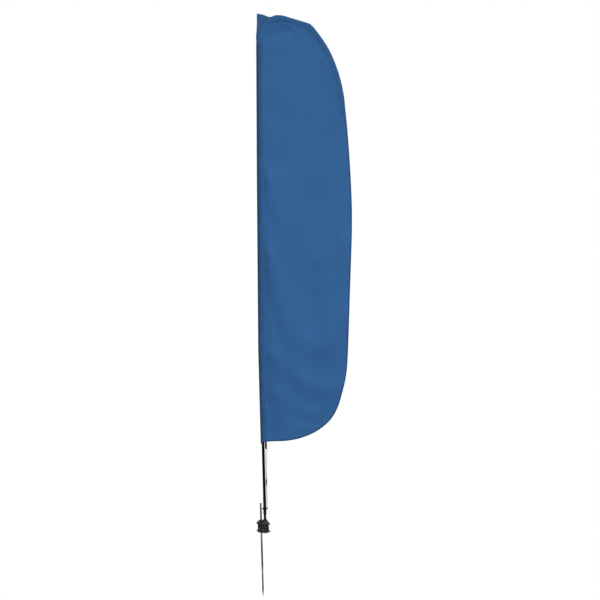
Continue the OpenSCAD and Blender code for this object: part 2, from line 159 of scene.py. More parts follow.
SPAN_STEPS = 12         # steps of a smooth curve between two of its points
HEM_END = 15 * SPAN_STEPS + 3   # the cloth's free edge has this many of the edge line's points
CORNER_TOP = 23 * SPAN_STEPS + 8    # and the corner patch has those from here on

edge_line = smooth_curve(EDGE, SPAN_STEPS) * MM
whip_line = smooth_curve(POLE[-1:] + WHIP, SPAN_STEPS) * MM
tunnel_line = resample(np.concatenate([np.array(POLE[:-1]) * MM, whip_line]), 6.5 * MM)
tunnel_side = right_of(tunnel_line)
tunnel_along = places_along(tunnel_line)
tunnel_length = tunnel_along[-1]


def place(x, z, front=0.0):
    """A point of the banner's plane in the model's frame, moved to the front."""
    return (SPINDLE.x + x, PLANE_Y - front, z)


# ---- meshes --------------------------------------------------------------------------

def new_object(name, verts, faces, smooth=True):
    mesh = bpy.data.meshes.new(name)
    mesh.from_pydata([tuple(v) for v in verts], [], [tuple(f) for f in faces])
    mesh.update()
    obj = bpy.data.objects.new(name, mesh)
    bpy.context.collection.objects.link(obj)
    if smooth:
        shade_smooth(obj)
    return obj


def shade_smooth(obj):
    obj.data.polygons.foreach_set("use_smooth", [True] * len(obj.data.polygons))


def tidy_normals(obj):
    bm = bmesh.new()
    bm.from_mesh(obj.data)
    bmesh.ops.recalc_face_normals(bm, faces=bm.faces)
    bm.to_mesh(obj.data)
    bm.free()
    shade_smooth(obj)


def bake_modifiers(obj):
    seen = obj.evaluated_get(bpy.context.evaluated_depsgraph_get())
    mesh = bpy.data.meshes.new_from_object(seen)
    obj.modifiers.clear()
    obj.data = mesh
    shade_smooth(obj)


def lattice_faces(rows, columns, closed=False):
    """Faces between rows of points, which also go on from each row's last point to its first if
    the rows are closed."""
    faces = []
    for r in range(rows - 1):
        for c in range(columns if closed else columns - 1):
            after = (c + 1) % columns
            faces.append((r * columns + c, r * columns + after,
                          (r + 1) * columns + after, (r + 1) * columns + c))
    return faces


def tube_faces(rings, sides):
    """Faces of a tube made of rings of points, closed at both ends."""
    last = (rings - 1) * sides
    caps = [tuple(range(sides))[::-1], tuple(range(last, last + sides))]
    return lattice_faces(rings, sides, closed=True) + caps


def swept(points, sides, radius):
    """Vertices and faces of a tube along a line. radius(i, angle) is its radius at point i, with
    angles that start towards +X."""
    points = np.array(points, float)
    dirs = np.gradient(points, axis=0)
    dirs /= np.linalg.norm(dirs, axis=1)[:, None]
    start = np.array((1, 0, 0), float)
    us = start - (dirs @ start)[:, None] * dirs
    us /= np.linalg.norm(us, axis=1)[:, None]
    vs = np.cross(dirs, us)
    verts = []
    for i, p in enumerate(points):
        for k in range(sides):
            a = 2 * math.pi * k / sides
            verts.append(p + radius(i, a) * (math.cos(a) * us[i] + math.sin(a) * vs[i]))
    return verts, tube_faces(len(points), sides)


# ---- tether cord ---------------------------------------------------------------------

# The elastic's route, as (x, y, z) in mm from the spindle's axis. The loop's two runs leave the
# tab side by side and meet at the collar's post, which the loop goes round.
STRAND_A = 11.5
STRAND_B = 18.5
POST_X = 12.6
POST_Z = 131
TAB_BOTTOM = 452
CORD_ROUTE = [
    (STRAND_A, 0, TAB_BOTTOM), (STRAND_A, 0, 444), (STRAND_A, 0, 430), (STRAND_A, 0, 412),
    (STRAND_A, -0.5, 370), (11.6, -1.5, 310), (11.8, -3, 245), (12.1, -4.2, 190), (12.4, -5, 150),
    (POST_X, -5.2, 138), (POST_X, -5.2, POST_Z), (POST_X, -3.7, 127.3), (POST_X, 0, 125.8),
    (POST_X, 3.7, 127.3), (POST_X, 5.2, POST_Z), (POST_X, 5.2, 138), (12.8, 5, 150),
    (13.4, 4.2, 190), (14.5, 3, 245), (15.9, 1.5, 310), (17.5, 0.5, 370), (STRAND_B, 0, 412),
    (STRAND_B, 0, 430), (STRAND_B, 0, 444), (STRAND_B, 0, TAB_BOTTOM)]
CORD_D = 2.6 * MM

LOOP_SLEEVE_X = 12.9 * MM   # from the spindle's axis
LOOP_SLEEVE_ENDS = (0.256, 0.288)   # heights
LOOP_SLEEVE_HALF = (3.5 * MM, 4.9 * MM)     # half its width and half its depth


def make_loop_sleeve():
    """A black rubber sleeve that keeps the loop's two runs together, oval across the runs."""
    rings = 30
    line = [(SPINDLE.x + LOOP_SLEEVE_X, PLANE_Y, z) for z in np.linspace(*LOOP_SLEEVE_ENDS, rings)]
    wide, deep = LOOP_SLEEVE_HALF
    tapered = 0.2           # share of each half's length over which it narrows
    narrowing = 0.3         # share of its radius that it loses there

    def radius(i, a):
        oval = wide * deep / math.hypot(deep * math.cos(a), wide * math.sin(a))
        from_middle = abs(2 * i / (rings - 1) - 1)
        taper = narrowing * max(0, from_middle - (1 - tapered)) / tapered
        uneven = 0.02 * math.sin(1.9 * i)
        return oval * (1 - taper) * (1 + uneven)

    sleeve = new_object("loop_sleeve", *swept(line, 36, radius))
    sleeve.data.materials.append(moulded_material("loop_sleeve", (0.03, 0.03, 0.032), 0.7, 0.1))
    return sleeve


def make_tether_cord():
    """The elastic loop: a braided tube from the tab, round the collar's hook and back."""
    offset = np.array([SPINDLE.x, PLANE_Y, 0])
    line = resample(smooth_curve(CORD_ROUTE, 8) * MM, 0.9 * MM) + offset
    strands = 6
    lay = math.pi * strands / 9     # the braid's phase from one ring to the next

    def radius(i, a):
        braid = math.sin(strands * a + lay * i) * math.sin(strands * a - lay * i)
        return CORD_D / 2 * (1 + 0.07 * braid)

    sleeve = make_loop_sleeve()
    cord = new_object("tether_elastic", *swept(line, 24, radius))
    cord.data.materials.append(elastic_material())
    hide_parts("tether_cord")
    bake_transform(cord)
    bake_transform(sleeve)


# ---- materials -----------------------------------------------------------------------

class Shader:
    """A material's node tree with short helpers for the nodes that these materials need."""

    def __init__(self, name, color, roughness, metallic=0.0, **constants):
        self.material = bpy.data.materials.new(name)
        self.material.use_nodes = True
        self.tree = self.material.node_tree
        self.bsdf = self.tree.nodes["Principled BSDF"]
        self.bsdf.inputs["Base Color"].default_value = (*color, 1)
        self.bsdf.inputs["Roughness"].default_value = roughness
        self.bsdf.inputs["Metallic"].default_value = metallic
        for key, value in constants.items():
            self.bsdf.inputs[key.replace("_", " ")].default_value = value
        self.coords = self.node("ShaderNodeTexCoord").outputs["Object"]

    def node(self, kind, **inputs):
        made = self.tree.nodes.new(kind)
        for key, value in inputs.items():
            self.put(made.inputs[key.replace("_", " ")], value)
        return made

    def put(self, socket, value):
        if isinstance(value, bpy.types.NodeSocket):
            self.tree.links.new(value, socket)
        else:
            socket.default_value = value

    def stretch(self, scale):
        mapping = self.node("ShaderNodeMapping", Vector=self.coords)
        mapping.inputs["Scale"].default_value = scale
        return mapping.outputs["Vector"]

    def height_ramp(self, stops, wobble):
        """A grey ramp whose stops are (z, value) pairs from low to high, with an uneven border."""
        z = self.node("ShaderNodeSeparateXYZ", Vector=self.coords).outputs["Z"]
        waver = self.math("MULTIPLY", self.math("SUBTRACT", self.noise(30, 3), 0.5), wobble)
        z = self.math("ADD", z, waver)
        low, high = stops[0][0], stops[-1][0]
        level = self.math("DIVIDE", self.math("SUBTRACT", z, low), high - low)
        return self.ramp(level, [((at - low) / (high - low), value) for at, value in stops])

    def noise(self, scale, detail=2.0, roughness=0.5, vector=None):
        made = self.node("ShaderNodeTexNoise", Vector=vector or self.coords)
        made.inputs["Scale"].default_value = scale
        made.inputs["Detail"].default_value = detail
        made.inputs["Roughness"].default_value = roughness
        return made.outputs["Fac"]

    def wave(self, scale, direction, distortion=0.0):
        made = self.node("ShaderNodeTexWave", Vector=self.coords)
        made.bands_direction = direction
        made.inputs["Scale"].default_value = scale
        made.inputs["Distortion"].default_value = distortion
        return made.outputs["Fac"]

    def math(self, operation, a, b):
        made = self.node("ShaderNodeMath")
        made.operation = operation
        self.put(made.inputs[0], a)
        self.put(made.inputs[1], b)
        return made.outputs[0]

    def ramp(self, fac, stops):
        """stops are (place, color) pairs, with a colour of three numbers or one grey value."""
        made = self.node("ShaderNodeValToRGB", Fac=fac)
        elements = made.color_ramp.elements
        while len(elements) < len(stops):
            elements.new(0.5)
        for element, (at, color) in zip(elements, stops):
            element.position = at
            element.color = (*color, 1) if isinstance(color, tuple) else (color, color, color, 1)
        return made.outputs["Color"]

    def mix(self, fac, a, b):
        """Mixes two colours. The node has sockets of the same names for numbers and vectors, so
        those for colours are reached by their places."""
        made = self.node("ShaderNodeMix")
        made.data_type = "RGBA"
        self.put(made.inputs[0], fac)
        self.put(made.inputs[6], a if not isinstance(a, tuple) else (*a, 1))
        self.put(made.inputs[7], b if not isinstance(b, tuple) else (*b, 1))
        return made.outputs[2]

    def bump(self, height, strength, distance, bevel=0.0):
        made = self.node("ShaderNodeBump", Height=height)
        made.inputs["Strength"].default_value = strength
        made.inputs["Distance"].default_value = distance
        if bevel:
            rounded = self.node("ShaderNodeBevel")
            rounded.samples = 6
            rounded.inputs["Radius"].default_value = bevel
            self.tree.links.new(rounded.outputs["Normal"], made.inputs["Normal"])
        self.tree.links.new(made.outputs["Normal"], self.bsdf.inputs["Normal"])

    def color(self, socket):
        self.tree.links.new(socket, self.bsdf.inputs["Base Color"])

    def rough(self, socket):
        self.tree.links.new(socket, self.bsdf.inputs["Roughness"])


def shade(color, factor):
    return tuple(c * factor for c in color)


def cloth_material(name, color, shadow_color=None):
    """Knitted polyester, a little duller towards the ground. A point attribute named dark, where a
    mesh has one, blends to shadow_color."""
    s = Shader(name, color, 0.82, Sheen_Weight=0.08, Sheen_Roughness=0.45, Specular_IOR_Level=0.22)
    level = s.math("SUBTRACT", s.node("ShaderNodeSeparateXYZ", Vector=s.coords).outputs["Z"], 0.5)
    mottled = s.noise(5, 3)
    broad = s.mix(s.ramp(level, [(0.0, 0.0), (0.9, 1.0)]),
                  s.ramp(mottled, [(0.3, shade(color, 0.90)), (0.7, shade(color, 0.98))]),
                  s.ramp(mottled, [(0.3, shade(color, 0.965)), (0.7, shade(color, 1.035))]))
    if shadow_color:
        # Painted shade: where a mesh has the dark attribute, it blends the colour to shadow_color
        dark = s.node("ShaderNodeAttribute")
        dark.attribute_name = "dark"
        broad = s.mix(dark.outputs["Fac"], broad, shadow_color)
    s.color(broad)
    s.rough(s.ramp(s.noise(30, 2), [(0.3, 0.76), (0.7, 0.88)]))
    courses = s.wave(230, "Z", 1.2)
    wales = s.wave(260, "X", 1.2)
    s.bump(s.math("ADD", courses, wales), 0.25, 0.0002)
    return s.material


def thread_material(color):
    s = Shader("thread", color, 0.7, Specular_IOR_Level=0.25)
    s.color(s.ramp(s.noise(400, 2), [(0.35, shade(color, 0.8)), (0.65, shade(color, 1.15))]))
    return s.material


def webbing_material():
    color = (0.006, 0.006, 0.007)
    s = Shader("webbing", color, 0.85, Specular_IOR_Level=0.1)
    s.color(s.ramp(s.noise(600, 2), [(0.35, shade(color, 0.7)), (0.65, shade(color, 1.5))]))
    s.bump(s.math("MULTIPLY", s.wave(300, "DIAGONAL"), s.wave(420, "Z")), 0.6, 0.0003)
    return s.material


def elastic_material():
    """White braid gone grey."""
    color = (0.46, 0.46, 0.47)
    s = Shader("elastic_cord", color, 0.7, Specular_IOR_Level=0.3)
    s.color(s.ramp(s.noise(25, 4), [(0.35, shade(color, 0.5)), (0.6, color)]))
    s.bump(s.noise(2500, 2), 0.4, 0.0001)
    return s.material


def moulded_material(name, color, roughness=0.42, gloss=0.35):
    """Black moulded nylon: fine grain, softened edges and duller patches."""
    s = Shader(name, color, roughness, Specular_IOR_Level=gloss)
    s.color(s.ramp(s.noise(60, 4), [(0.3, shade(color, 0.75)), (0.7, shade(color, 1.5))]))
    s.rough(s.ramp(s.noise(45, 3), [(0.3, roughness - 0.08), (0.7, roughness + 0.12)]))
    s.bump(s.noise(900, 3), 0.35, 0.0002, bevel=0.0007)
    return s.material


def steel_material(name, color, roughness, streaks=0.25, bevel=0.0004):
    """Bare steel with faint lengthwise streaks."""
    s = Shader(name, color, roughness, 1.0)
    lines = s.noise(80, 3, 0.6, s.stretch((8, 8, 0.35)))
    s.color(s.ramp(lines, [(0.3, shade(color, 1 - streaks)), (0.7, color)]))
    s.rough(s.ramp(s.noise(120, 3), [(0.3, roughness - 0.08), (0.7, roughness + 0.14)]))
    s.bump(lines, 0.15, 0.0001, bevel)
    return s.material


def spike_material():
    """Zinc plate with painted reflections: bright below the hub, dark along the middle, bright again
    further down and dark at the point. The ramps' stops are heights, with a grey value and a share of metal."""
    s = Shader("zinc_steel", (0.5, 0.5, 0.52), 0.35, 1.0)
    # Painted reflections: bright and dark bands by height, with less metal in the dark stretches
    bands = s.height_ramp([(-0.335, 0.03), (-0.30, 0.02), (-0.27, 0.12), (-0.21, 0.3), (-0.168, 0.03),
                           (-0.11, 0.008), (-0.09, 0.03), (-0.05, 0.2), (-0.015, 0.42), (0.08, 0.06),
                           (0.15, 0.2)], 0.012)
    painted_reflection_metal = s.height_ramp([(-0.335, 0.7), (-0.30, 0.35), (-0.272, 1.0), (-0.17, 1.0), (-0.152, 0.15),
                          (-0.112, 0.15), (-0.095, 1.0)], 0.012)
    s.put(s.bsdf.inputs["Metallic"], painted_reflection_metal)
    lines = s.ramp(s.noise(80, 3, 0.6, s.stretch((10, 10, 0.3))), [(0.25, 0.6), (0.75, 1.0)])
    s.color(s.mix(0.35, bands, s.mix(1.0, lines, bands)))
    s.rough(s.ramp(s.noise(150, 3), [(0.3, 0.28), (0.7, 0.5)]))
    s.bump(lines, 0.2, 0.0001, 0.0004)
    return s.material


def tube_material(name, color, roughness, gloss=0.08):
    """Pultruded glass fibre: satin, with faint lengthwise fibre lines."""
    s = Shader(name, color, roughness, Specular_IOR_Level=gloss)
    lines = s.noise(90, 2, 0.5, s.stretch((12, 12, 0.12)))
    s.color(s.ramp(lines, [(0.3, shade(color, 0.7)), (0.7, shade(color, 1.4))]))
    s.rough(s.ramp(s.noise(25, 3), [(0.3, roughness - 0.06), (0.7, roughness + 0.1)]))
    s.bump(lines, 0.2, 0.0001, 0.0003)
    return s.material


def plain_plastic(name, color, roughness):
    s = Shader(name, color, roughness, Specular_IOR_Level=0.5)
    s.color(s.ramp(s.noise(120, 3), [(0.3, shade(color, 0.9)), (0.7, color)]))
    s.bump(s.noise(1500, 2), 0.15, 0.0001, 0.0004)
    return s.material


def dress_cad_nodes():
    """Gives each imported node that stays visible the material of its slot."""
    made = {
        "zinc_steel": spike_material(),
        "spring_steel": steel_material("spring_steel", (0.42, 0.42, 0.44), 0.32),
        "screw_steel": steel_material("screw_steel", (0.78, 0.78, 0.8), 0.22, 0.15, 0.0002),
        "hub_moulding": moulded_material("hub_moulding", (0.013, 0.013, 0.014)),
        "bush_plastic": plain_plastic("bush_plastic", (0.03, 0.03, 0.032), 0.45),
        "black_steel": tube_material("black_steel", (0.006, 0.006, 0.007), 0.7, 0.04),
        "black_plastic": moulded_material("black_plastic", (0.006, 0.006, 0.007), 0.7, 0.05),
        "pole_black": tube_material("pole_black", (0.0015, 0.0015, 0.0016), 0.5, 0.03),
        "ferrule_black": tube_material("ferrule_black", (0.008, 0.008, 0.009), 0.4, 0.15),
        "whip_rod": tube_material("whip_rod", (0.012, 0.012, 0.012), 0.4),
        "lock_white": plain_plastic("lock_white", (0.85, 0.85, 0.86), 0.3),
        "lock_grey": plain_plastic("lock_grey", (0.25, 0.26, 0.27), 0.4),
    }
    for part in frame["record"]["subparts"]:
        if part["material_slot"] in made:
            obj = frame["nodes"][part["node"]]
            obj.data.materials.clear()
            obj.data.materials.append(made[part["material_slot"]])


# ---- banner: shape of the hanging cloth --------------------------------------------------

SEAM = 19 * MM          # from the pole's or the whip's line to the seam inside it
CLOTH_STEP = 9 * MM     # spacing of the simulated cloth's points
CLOTH_TUCK = 4 * MM     # how far the main cloth reaches into the tunnel, past the seam
HELD_WITHIN = 2 * MM    # from the seam, the cloth's points that the simulation holds
HANG_FRAMES = 45        # length of the simulation
MOST_MOVED = 30 * MM    # limit on the simulated movement
SETTLING = 0.35         # share of the simulated movement that the worn-in folds give way to
BILLOW = 13 * MM        # how far the cloth stands in front of the pole's plane
SAG = 6 * MM            # how far it falls back behind the whip
PUCKER = 5 * MM         # height of the puckers along the sleeve's seam
LEVEL_BY = 30 * MM      # from the seam, where the folds have their full height

# Crests of the folds: points (x, z) in mm, height towards the front and breadth, both in mm
CRESTS = [
    ([(62, 2010), (80, 1920), (107, 1860), (147, 1755), (188, 1654), (233, 1527), (270, 1466),
      (312, 1440), (355, 1450), (398, 1473), (440, 1510), (480, 1550), (560, 1620)], 13, 78),
    ([(34, 1590), (50, 1520), (70, 1450), (100, 1365), (141, 1250), (180, 1130), (220, 1045),
      (262, 1018), (305, 1006), (349, 1002), (393, 1050), (437, 1110), (470, 1150), (560, 1230)],
     15, 56),
    ([(22, 1015), (40, 990), (82, 949), (124, 902), (166, 858), (208, 820), (251, 796), (294, 780),
      (337, 770), (380, 768), (430, 778), (520, 800)], 10.5, 37),
    ([(28, 808), (45, 795), (77, 760), (119, 721), (162, 688), (204, 660), (247, 645), (290, 638),
      (350, 640)], 5, 26),
    ([(55, 650), (115, 600), (160, 573), (205, 558), (250, 555), (310, 565)], 3, 19),
    ([(300, 1440), (355, 1478), (400, 1503), (444, 1534), (488, 1555), (560, 1575)], 3, 29),
    ([(270, 1265), (307, 1289), (352, 1315), (396, 1352), (440, 1394), (485, 1447), (560, 1530)],
     4.5, 33),
    ([(60, 2640), (100, 2676), (150, 2692), (230, 2700)], -5, 24),
]


def to_line(points, line):
    """For each point, its distance to a line and the place along it, from 0 to 1."""
    best = np.full(len(points), np.inf)
    place_on = np.zeros(len(points))
    along = places_along(line)
    for i in range(len(line) - 1):
        a, ab = line[i], line[i + 1] - line[i]
        t = np.clip(((points - a) @ ab) / (ab @ ab), 0, 1)
        d = np.linalg.norm(points - a - t[:, None] * ab, axis=1)
        closer = d < best
        best[closer] = d[closer]
        place_on[closer] = (along[i] + t[closer] * np.linalg.norm(ab)) / along[-1]
    return best, place_on


def outline_reach(point, outward):
    """The distance from a point to the banner's outline, in the outward direction."""
    runs = np.diff(edge_line, axis=0)
    to = edge_line[:-1] - point
    det = outward[0] * runs[:, 1] - outward[1] * runs[:, 0]
    det[np.abs(det) < 1e-12] = 1e-12
    reach = (to[:, 0] * runs[:, 1] - to[:, 1] * runs[:, 0]) / det
    place_on = (to[:, 0] * outward[1] - to[:, 1] * outward[0]) / det
    return reach[(place_on >= 0) & (place_on <= 1) & (reach > 0)].min(initial=0.02)


def from_tunnel(points):
    """How far each point (x, z) lies inside the sleeve's or the pocket's seam, and 0 within it."""
    away, along = to_line(points, tunnel_line)
    return np.maximum(away - SEAM, 0), along


def folds(points):
    """How far the unloaded cloth stands to the front at each point (x, z)."""
    front = np.zeros(len(points))
    for crest, height, breadth in CRESTS:
        line = smooth_curve(crest, 6) * MM
        away, along = to_line(points, line)
        fade = ease(0, 0.14, along) * (1 - ease(0.88, 1, along))
        front += height * MM * fade * np.exp(-0.5 * (away / (breadth * MM)) ** 2)
    from_seam, along = from_tunnel(points)
    pucker = np.array([wander(a, 3, 0.045) + 0.6 * wander(a, 5, 0.02) for a in along * tunnel_length])
    near = np.exp(-from_seam / 0.03) * (1 - np.exp(-from_seam / 0.006))
    flatter = 0.6 * ease(0.62, 0.72, along)     # towards the whip
    front += PUCKER * pucker * near * (1 - flatter)
    front *= ease(0, LEVEL_BY, from_seam)
    pole = np.array(POLE) * MM
    from_pole = np.maximum(points[:, 0] - np.interp(points[:, 1], pole[:, 1], pole[:, 0]) - SEAM, 0)
    from_whip = np.maximum(to_line(points, whip_line)[0] - SEAM, 0)
    billow = BILLOW * ease(0, 0.4, from_whip) - SAG * (1 - np.exp(-from_whip / 0.06))
    front += billow * (1 - np.exp(-from_pole / 0.05)) * ease(0, 0.008, from_seam)
    return front


def cloth_outline():
    """The main cloth's outline: the free edge, then back just inside the tunnel's seam, as far as
    the lower corner, where the webbing tab is sewn on."""
    seam = tunnel_line + (SEAM - CLOTH_TUCK) * tunnel_side
    seam = seam[seam[:, 1] > EDGE[0][1] * MM + 2 * MM]
    free = edge_line[:HEM_END]
    free = free[free[:, 0] > SEAM - CLOTH_TUCK]
    return np.concatenate([resample(free, CLOTH_STEP), resample(seam, CLOTH_STEP)[::-1]])


def inside(points, outline):
    """Which points lie inside a closed outline."""
    result = np.zeros(len(points), bool)
    x, z = points[:, 0], points[:, 1]
    for a, b in zip(outline, np.roll(outline, -1, axis=0)):
        crosses = (a[1] > z) != (b[1] > z)
        with np.errstate(divide="ignore", invalid="ignore"):
            at = a[0] + (z - a[1]) / (b[1] - a[1]) * (b[0] - a[0])
        result ^= crosses & (x < at)
    return result


def cloth_mesh():
    """The main cloth as points (x, z) on a square grid with a fitted edge, and its faces."""
    outline = cloth_outline()
    lo, hi = outline.min(axis=0), outline.max(axis=0)
    across, up = (np.arange(lo[k], hi[k], CLOTH_STEP) for k in range(2))
    grid = np.stack(np.meshgrid(across, up), axis=-1).reshape(-1, 2)
    grid = grid[inside(grid, outline)]
    closed = np.concatenate([outline, outline[:1]])
    grid = grid[to_line(grid, closed)[0] > 0.55 * CLOTH_STEP]
    points = np.concatenate([outline, grid])
    n = len(outline)
    ring = [(i, (i + 1) % n) for i in range(n)]
    verts, _, faces, *_ = delaunay_2d_cdt([Vector(p) for p in points], ring, [list(range(n))], 1, 1e-7)
    return np.array([tuple(v) for v in verts]), [tuple(f) for f in faces]


def hang(cloth, pinned, frames):
    """Lets the cloth settle under its weight, held at the pinned points, and keeps the result."""
    group = cloth.vertex_groups.new(name="held")
    group.add(pinned, 1.0, "REPLACE")
    settings = cloth.modifiers.new("hang", "CLOTH").settings
    settings.quality = 6
    settings.mass = 0.03
    settings.tension_stiffness = 60
    settings.compression_stiffness = 60
    settings.shear_stiffness = 25
    settings.bending_stiffness = 4
    settings.tension_damping = 15
    settings.air_damping = 3
    settings.vertex_group_mass = "held"
    scene = bpy.context.scene
    scene.frame_start = 1
    scene.frame_end = frames
    cloth.modifiers["hang"].point_cache.frame_start = 1
    cloth.modifiers["hang"].point_cache.frame_end = frames
    for f in range(1, frames + 1):
        scene.frame_set(f)
    seen = cloth.evaluated_get(bpy.context.evaluated_depsgraph_get())
    result = np.array([tuple(v.co) for v in seen.data.vertices])
    cloth.modifiers.clear()
    cloth.vertex_groups.clear()
    scene.frame_set(1)
    return result


def make_main_cloth():
    """The single-layer cloth between the seam and the free edge."""
    points, faces = cloth_mesh()
    front = folds(points)
    cloth = new_object("banner_cloth", [place(x, z, f) for (x, z), f in zip(points, front)], faces)
    bm = bmesh.new()
    bm.from_mesh(cloth.data)
    bmesh.ops.join_triangles(bm, faces=bm.faces, angle_face_threshold=0.6, angle_shape_threshold=0.7)
    bmesh.ops.recalc_face_normals(bm, faces=bm.faces)
    bm.to_mesh(cloth.data)
    bm.free()
    held = [i for i, away in enumerate(from_tunnel(points)[0]) if away < HELD_WITHIN]
    settled = hang(cloth, held, HANG_FRAMES)
    moved = settled[:, 1] - np.array([v.co.y for v in cloth.data.vertices])
    for v, d in zip(cloth.data.vertices, np.clip(moved, -MOST_MOVED, MOST_MOVED)):
        v.co.y += SETTLING * d
    smooth = cloth.modifiers.new("finer", "SUBSURF")
    smooth.levels = 1
    smooth.render_levels = 1
    bake_modifiers(cloth)
    cloth.data.materials.append(cloth_material("banner_cloth", CLOTH_COLOR))
    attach(cloth, "flag")
    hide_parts("banner_panel")
    return cloth


# ---- banner: sleeve, pocket, corner ------------------------------------------------------

SLEEVE_REACH = 12.7 * MM    # from the pole's line to the sleeve's fold
POCKET_REACH = 12.5 * MM    # from the whip's line to the pocket's fold, below the corner patch
POLE_ROOM = 8.6         # half thickness of the tunnel in mm, loose on the pole
WHIP_ROOM = 4.4         # and closer on the whip
EDGE_SLACK = 2.2 * MM   # how far the pocket's fold stands outside the outline below the shoulder
PATCH_END = 0.150       # x where the corner patch ends on the whip's pocket
WHIP_START = 2.16       # distance along the tunnel where the whip's pocket begins
CREASE = 2.2 * MM       # height of the creases where the sleeve has slipped down
MOUTH_RISE = 0.009      # the sleeve's mouth is cut higher on the side of the seam,
MOUTH_HEIGHT = 20 * MM  # and this much of the cloth above it is drawn up

# Ferrules under the sleeve: place along the tunnel, half length in metres, and half thickness in mm
FERRULES = [(0.504, 0.060, 11.0), (1.420, 0.055, 10.2), (2.080, 0.030, 9.2)]


def tunnel_section(reach, seam, thick, count):
    """Half of a sewn tunnel's section, from its fold to its seam: (across, half thickness) pairs.
    The cloth lies round a rod and runs straight to the seam, and to the fold where that is further."""
    pairs = []
    for k in range(count + 1):
        across = -reach + (reach + seam) * (1 - math.cos(math.pi * k / count)) / 2
        arc = math.sqrt(max(0, thick ** 2 - across ** 2))
        if across > thick ** 2 / seam:
            arc = (seam - across) * thick / math.sqrt(seam ** 2 - thick ** 2)
        elif reach > thick and across < -thick ** 2 / reach:
            arc = (reach + across) * thick / math.sqrt(reach ** 2 - thick ** 2)
        elif reach <= thick:
            arc *= math.sqrt(max(0, 1 - (min(across, 0) / reach) ** 2))
        pairs.append((across, arc))
    return pairs


def tunnel_thickness(along):
    """Half thickness of the tunnel: loose on the pole, closer on the whip, sewn shut at its end."""
    on_whip = ease(WHIP_START, 2.26, along)
    close = (WHIP_ROOM - ease(2.2, tunnel_length, along)) * MM
    shut = 1 - 0.9 * ease(tunnel_length - 22 * MM, tunnel_length, along)
    loose = ((1 - on_whip) * POLE_ROOM * MM + on_whip * close) * shut
    for middle, half, radius in FERRULES:
        over = 1 - ease(half, half + 35 * MM, np.abs(along - middle))
        loose = np.maximum(loose, over * (radius * MM))
    return loose


def ferrule_need(along):
    """The least half thickness of the tunnel that clears the ferrules."""
    return max((radius - 0.6) * MM if abs(along - middle) < half + 4 * MM else 0
               for middle, half, radius in FERRULES)


def tunnel_reach(line, side, along):
    """How far the tunnel's fold lies from the rod's line at one station. Past the corner patch the
    fold is the banner's outline, with some slack from the shoulder to near the pocket's end."""
    on_whip = float(ease(WHIP_START, 2.28, along))
    reach = (1 - on_whip) * SLEEVE_REACH + on_whip * POCKET_REACH
    past_patch = float(ease(PATCH_END - 30 * MM, PATCH_END, line[0]))
    if along < WHIP_START or not past_patch:
        return reach
    past_shoulder = float(ease(0.29, 0.36, line[0]))
    near_end = float(ease(2.95, 3.03, along))
    slack = EDGE_SLACK * past_shoulder * (1 - near_end)
    return (1 - past_patch) * reach + past_patch * (outline_reach(line, -side) + slack)


def show_through_and_painted_shade(across, along, reach):
    """How dark the doubled cloth is painted: 1 over the black pole, less at the fold and elsewhere.
    Partly the black pole showing through, partly painted shade: over the sleeve, at its fold and on
    the pocket's outer side, whose upward slope is lit.
    """
    on_pole = float(1 - ease(2.12, 2.2, along))
    low = float(1 - ease(1.5, 1.9, along))
    ragged = 7 * MM * wander(along, 51, 0.06) * low
    # Painted shade along the sleeve's rolled fold
    fold = 1 - ease(-reach + 0.003, -reach + 0.008, across)
    pole = on_pole * (1 - ease(ragged, ragged + 0.009 + 0.006 * low, across))
    # Painted shade on the pocket's outer side, which faces up into the light
    whip = 0.5 * (1 - on_pole) * (1 - ease(-0.006, 0.006, across))
    return float(max(0.8 * on_pole * fold, pole, 0.5 * on_pole, whip))


def make_tunnel():
    """The sewn tunnel for the pole and the whip, with creases where it has slipped down."""
    half = 14               # points from the fold to the seam, on the front and on the back
    count = 2 * half + 1
    verts, dark = [], []
    for line, side, along in zip(tunnel_line, tunnel_side, tunnel_along):
        reach = tunnel_reach(line, side, along)
        thick = max(tunnel_thickness(along) * (1 + 0.08 * wander(along, 1, 0.07)), ferrule_need(along))
        pairs = tunnel_section(reach, SEAM, thick, half)
        slip = (0.5 + 0.5 * wander(along, 9, 0.22)) * (1 - float(ease(1.6, 1.9, along)))
        for face in (1, -1):
            for k in (range(half, 0, -1) if face == 1 else range(half + 1)):
                across, arc = pairs[k]
                lengthwise = along + 0.9 * across * face
                crease = (1 - abs(wander(lengthwise, 21 if face == 1 else 22, 0.018))) ** 3
                arc += CREASE * slip * (crease - 0.1) * math.sin(math.pi * k / half)
                x, z = line + side * across
                if along < MOUTH_HEIGHT:
                    slant = float(ease(-12 * MM, 12 * MM, across))
                    z += MOUTH_RISE * slant * (1 - along / MOUTH_HEIGHT)
                verts.append(place(x, z, face * arc))
                dark.append(show_through_and_painted_shade(across, along, reach))
    faces = lattice_faces(len(tunnel_line), count)
    add_turned_in_end(verts, faces, dark, count)
    tunnel = new_object("sleeve_tunnel", verts, faces)
    set_dark(tunnel, dark)
    tidy_normals(tunnel)
    # The dark attribute blends the sleeve to a painted shade colour, 0.55 of the cloth's
    tunnel.data.materials.append(cloth_material("sleeve_cloth", CLOTH_COLOR, shade(CLOTH_COLOR, 0.55)))
    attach(tunnel, "flag")
    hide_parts("banner_sleeve", "whip_pocket")


def set_dark(obj, values):
    obj.data.attributes.new("dark", "FLOAT", "POINT").data.foreach_set("value", values)


def add_turned_in_end(verts, faces, dark, count):
    """Turns the sleeve's open lower end inwards, as its hem is."""
    centre = np.mean([verts[k] for k in range(count)], axis=0)
    last = 0
    for drop, shrink in ((-0.0008, 0.96), (0.0, 0.9), (0.012, 0.9)):
        first = len(verts)
        for k in range(count):
            p = np.array(verts[k])
            moved = centre + (p - centre) * shrink
            verts.append((moved[0], moved[1], p[2] + drop))
            # Painted shade: the turned-in end takes the sleeve's full shadow colour
            dark.append(1.0)
        for k in range(count - 1):
            faces.append((last + k, first + k, first + k + 1, last + k + 1))
        last = first


